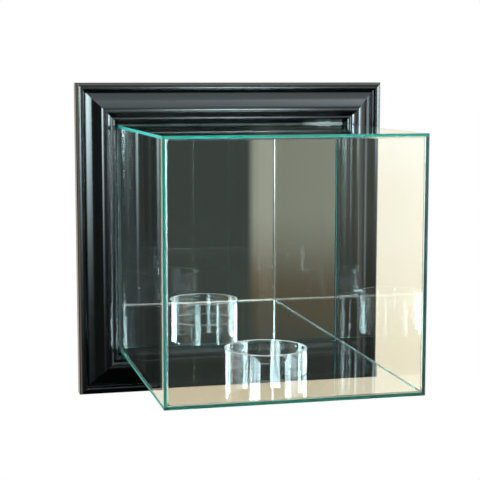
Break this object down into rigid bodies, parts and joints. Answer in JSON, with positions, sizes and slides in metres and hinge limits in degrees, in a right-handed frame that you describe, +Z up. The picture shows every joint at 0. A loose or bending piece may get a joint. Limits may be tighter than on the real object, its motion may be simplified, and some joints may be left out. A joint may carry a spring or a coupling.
{
  "type": "wall display case",
  "caption": "Wall-hung display case: clear glass box on a black moulded frame, mirrored lift-out back held by turn buttons, and a clear riser ring that seats a football.",
  "frame": {"origin": "middle of the flat back of the backing board, in the plane of the frame's back", "axes": "-Y out of the glass front towards the viewer, +Y towards the wall, +Z up, +X to the viewer's right"},
  "size_m": [0.3676, 0.309, 0.3644],
  "materials": {
    "moulding_black": "satin black lacquer",
    "glass_clear": "clear float glass, green at its edges",
    "adhesive_clear": "clear cured adhesive",
    "seal_clear": "clear silicone",
    "mirror": "silvered glass",
    "board_brown": "bare fibreboard",
    "foam_tape": "foam",
    "zinc": "zinc plated",
    "steel": "bright steel",
    "bumper_rubber": "matt",
    "acrylic_clear": "polished clear acrylic"
  },
  "bodies": {
    "frame": {"rail_top": "moulding_black", "rail_bottom": "moulding_black", "rail_left": "moulding_black", "rail_right": "moulding_black", "corner_v_nails": "steel", "glass_front": "glass_clear", "glass_top": "glass_clear", "glass_floor": "glass_clear", "glass_left": "glass_clear", "glass_right": "glass_clear", "front_beads": "adhesive_clear", "depth_beads": "adhesive_clear", "box_seal": "seal_clear", "turn_button_screws": "steel", "strap_hanger_left": "zinc", "strap_hanger_right": "zinc", "hanger_screws": "steel", "wall_bumpers": "bumper_rubber"},
    "back_panel": {"mirror": "mirror", "backing_board": "board_brown", "mirror_tape": "foam_tape"},
    "button_left_upper": {"turn_button_left_upper": "zinc"},
    "button_left_lower": {"turn_button_left_lower": "zinc"},
    "button_right_upper": {"turn_button_right_upper": "zinc"},
    "button_right_lower": {"turn_button_right_lower": "zinc"},
    "ring_left": {"hanger_ring_left": "zinc"},
    "ring_right": {"hanger_ring_right": "zinc"},
    "riser": {"riser_ring": "acrylic_clear"}
  },
  "joints": [
    {"name": "panel_out", "type": "slide", "parent": "frame", "child": "back_panel", "axis": [0, 1, 0], "range_m": [0, 0.25]},
    {"name": "turn_left_upper", "type": "hinge", "parent": "frame", "child": "button_left_upper", "pos_m": [-0.1538, 0.00075, 0.066], "axis": [0, 1, 0], "range_deg": [-90, 0]},
    {"name": "turn_left_lower", "type": "hinge", "parent": "frame", "child": "button_left_lower", "pos_m": [-0.1538, 0.00075, -0.066], "axis": [0, 1, 0], "range_deg": [-90, 0]},
    {"name": "turn_right_upper", "type": "hinge", "parent": "frame", "child": "button_right_upper", "pos_m": [0.1538, 0.00075, 0.066], "axis": [0, -1, 0], "range_deg": [-90, 0]},
    {"name": "turn_right_lower", "type": "hinge", "parent": "frame", "child": "button_right_lower", "pos_m": [0.1538, 0.00075, -0.066], "axis": [0, -1, 0], "range_deg": [-90, 0]},
    {"name": "ring_left_swing", "type": "hinge", "parent": "frame", "child": "ring_left", "pos_m": [-0.1648, 0.00235, 0.142], "axis": [1, 0, 0], "range_deg": [0, 180]},
    {"name": "ring_right_swing", "type": "hinge", "parent": "frame", "child": "ring_right", "pos_m": [0.1648, 0.00235, 0.142], "axis": [1, 0, 0], "range_deg": [0, 180]},
    {"name": "riser_lift", "type": "slide", "parent": "frame", "child": "riser", "axis": [0, 0, 1], "range_m": [0, 0.15]}
  ]
}
